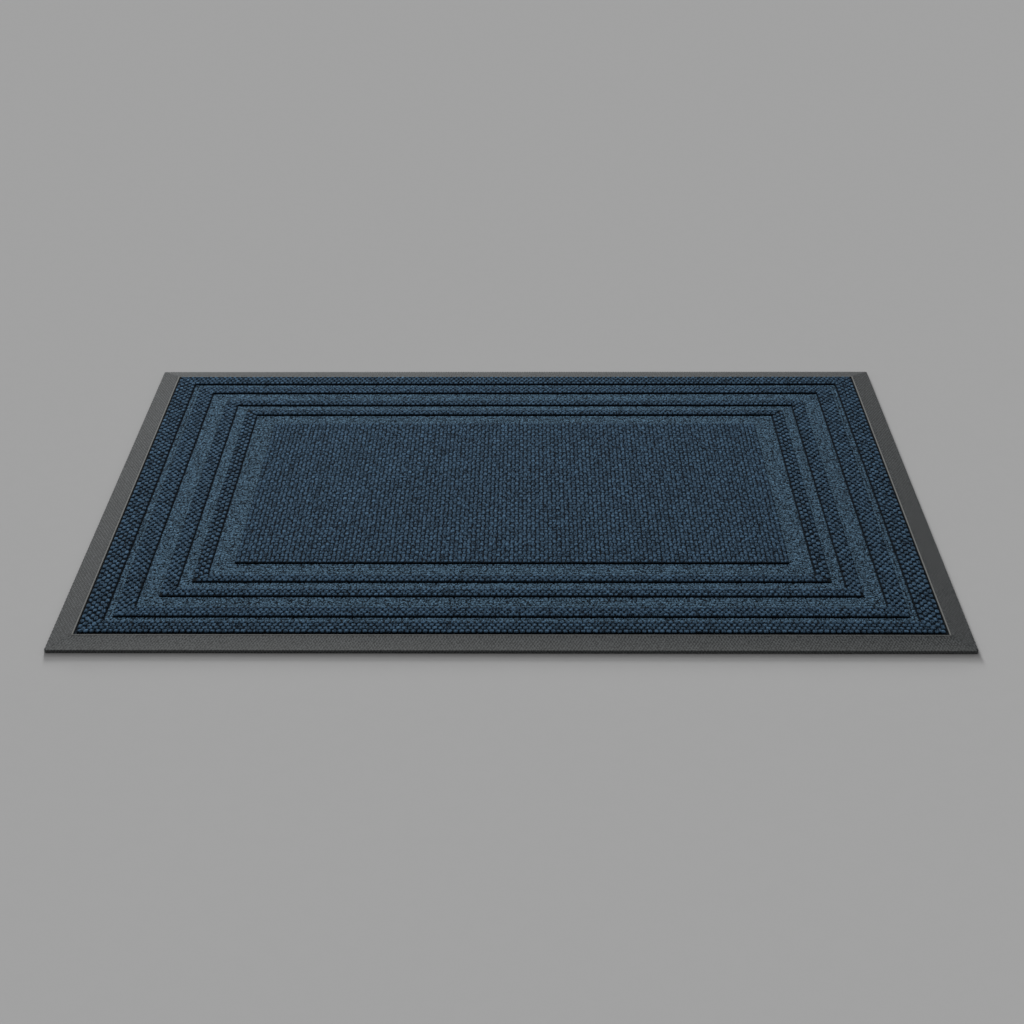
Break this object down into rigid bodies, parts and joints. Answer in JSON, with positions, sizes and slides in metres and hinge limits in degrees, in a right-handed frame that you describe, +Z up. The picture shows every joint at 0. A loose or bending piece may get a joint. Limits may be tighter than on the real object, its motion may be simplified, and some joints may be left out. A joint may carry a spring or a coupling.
{
  "type": "door mat",
  "caption": "Flat rectangular door mat: a bevelled black rubber border round a dark blue carpet face with raised concentric bands and a raised centre panel.",
  "frame": {"origin": "centre of the underside, on the floor", "axes": "+X along the long side to the right, +Y along the short side away from the front edge, +Z up out of the carpet face"},
  "size_m": [0.82, 0.6, 0.0078],
  "materials": {
    "border_rubber": "matte moulded rubber with a fine woven grain",
    "base_rubber": "plain matte rubber sheet",
    "latex": "thin cured latex coat",
    "ground_cloth": "fine ribbed synthetic carpet cloth, dark blue",
    "pile": "raised knotted synthetic pile, dark blue"
  },
  "bodies": {
    "root": {"rubber_base_sheet": "base_rubber", "front_border": "border_rubber", "back_border": "border_rubber", "left_border": "border_rubber", "right_border": "border_rubber", "latex_coat": "latex", "ground_cloth": "ground_cloth", "pile_band_1": "pile", "pile_band_2": "pile", "pile_band_3": "pile", "pile_band_4": "pile", "centre_pile": "pile"}
  },
  "joints": []
}
